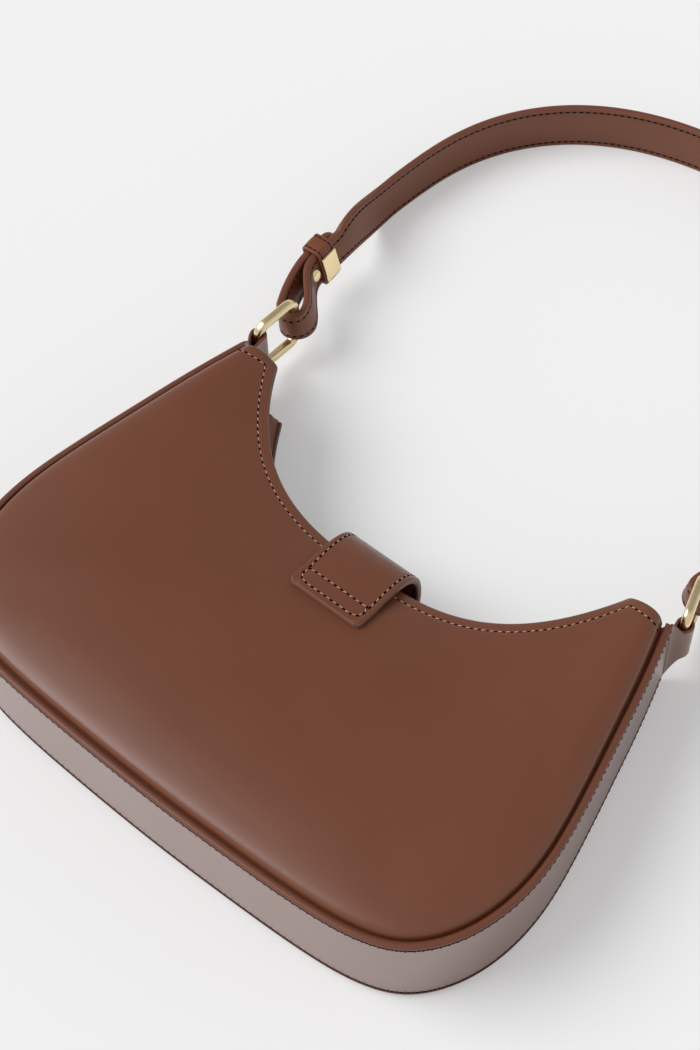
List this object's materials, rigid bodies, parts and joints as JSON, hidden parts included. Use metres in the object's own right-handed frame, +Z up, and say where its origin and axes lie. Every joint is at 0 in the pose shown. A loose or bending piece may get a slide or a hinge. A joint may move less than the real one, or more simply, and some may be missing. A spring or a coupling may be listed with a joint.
{
  "type": "shoulder bag",
  "caption": "Half-moon leather shoulder bag lying flat, with a domed padded body, closing tab over the mouth, rectangular rings and a strap with keepers.",
  "frame": {"origin": "on the table, under the middle of the bounding box of the bag and its spread strap", "axes": "+X across the bag, +Y from the bottom of the bag towards the top of the strap, +Z up from the table through the bag's depth, with the back panel on top"},
  "size_m": [0.26, 0.4109, 0.0517],
  "materials": {
    "leather": "smooth, semi-gloss",
    "gold": "polished pale gold",
    "foam": "matt foam",
    "board": "matt fibre board",
    "lining": "matt cotton",
    "magnet": "plain"
  },
  "bodies": {
    "bag": {"back_panel": "leather", "back_padding": "foam", "back_board": "board", "front_panel": "leather", "front_padding": "foam", "front_board": "board", "gusset": "leather", "gusset_stiffener": "board", "lining": "lining", "tab_sewn_end_leather": "leather", "tab_sewn_end_backing": "leather", "panel_magnet": "magnet"},
    "left_ring": {"ring_left": "gold"},
    "right_ring": {"ring_right": "gold"},
    "strap": {"strap_leather": "leather", "strap_backing": "leather", "left_stud": "gold", "left_stud_cap": "gold", "right_stud": "gold", "right_stud_cap": "gold"},
    "left_keeper_band": {"left_keeper": "leather", "left_keeper_plate": "gold"},
    "right_keeper_band": {"right_keeper": "leather", "right_keeper_plate": "gold"},
    "tab": {"tab_leather": "leather", "tab_backing": "leather", "tab_magnet": "magnet"}
  },
  "joints": [
    {"name": "left_ring_swing", "type": "hinge", "parent": "bag", "child": "left_ring", "pos_m": [-0.1108, -0.0147, 0.023], "axis": [0, 0, 1], "range_deg": [-20, 20]},
    {"name": "strap_swing", "type": "hinge", "parent": "left_ring", "child": "strap", "pos_m": [-0.10913, 0.00654, 0.023], "axis": [0, 0, 1], "range_deg": [-20.8, 20.8]},
    {"name": "right_ring_swing", "type": "hinge", "parent": "bag", "child": "right_ring", "pos_m": [0.10849, -0.0186, 0.023], "axis": [0, 0, 1], "range_deg": [-21, 21]},
    {"name": "left_keeper_slide", "type": "slide", "parent": "strap", "child": "left_keeper_band", "axis": [-0.0471, 0.9989, 0], "range_m": [-0.0004, 0.006]},
    {"name": "right_keeper_slide", "type": "slide", "parent": "strap", "child": "right_keeper_band", "axis": [0.0471, 0.9989, 0], "range_m": [-0.0004, 0.006]},
    {"name": "tab_open", "type": "hinge", "parent": "bag", "child": "tab", "pos_m": [0, -0.0951, 0.04701], "axis": [1, 0, 0], "range_deg": [0, 120]}
  ],
  "couplings": [
    {"joint": "strap_swing", "follows": "left_ring_swing", "ratio": -1.0379},
    {"joint": "right_ring_swing", "follows": "left_ring_swing", "ratio": 1.0485}
  ]
}
